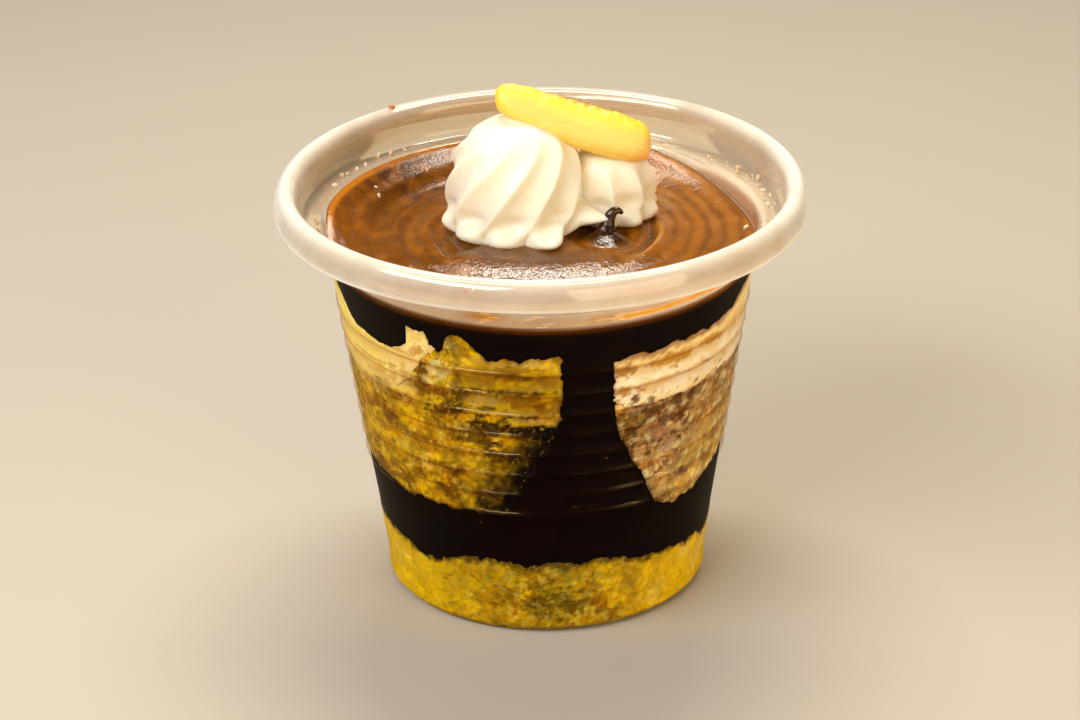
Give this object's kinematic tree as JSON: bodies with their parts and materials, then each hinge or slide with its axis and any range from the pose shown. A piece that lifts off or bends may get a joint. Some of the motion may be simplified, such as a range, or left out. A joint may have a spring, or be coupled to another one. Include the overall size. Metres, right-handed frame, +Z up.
{
  "type": "chocolate cream cup",
  "caption": "clear ribbed plastic cup filled with layers of sponge, chocolate cream and pale cream, topped with piped whipped cream and a slice of yellow fruit",
  "frame": {"origin": "middle of the cup's foot, on the plane it stands on", "axes": "+Z up along the cup's axis, -Y towards the front, where the chocolate runs down through the notch in the second sponge, +X to the right of it"},
  "size_m": [0.095, 0.095, 0.0912],
  "materials": {
    "clear_plastic": "clear, slightly milky thin plastic",
    "sponge": "moist open yellow sponge crumb",
    "soaked_sponge": "sponge crumb soaked in places with chocolate",
    "chocolate_cream": "glossy dark chocolate cream",
    "pale_cream": "soft pale yellow cream",
    "whipped_cream": "satin warm white whipped cream",
    "yellow_fruit": "moist yellow fruit flesh"
  },
  "bodies": {
    "root": {"cup": "clear_plastic", "sponge_base": "sponge", "chocolate_cream": "chocolate_cream", "second_sponge": "soaked_sponge", "cream_layer": "pale_cream", "large_rosette": "whipped_cream", "small_rosette": "whipped_cream", "fruit_slice": "yellow_fruit"}
  },
  "joints": []
}
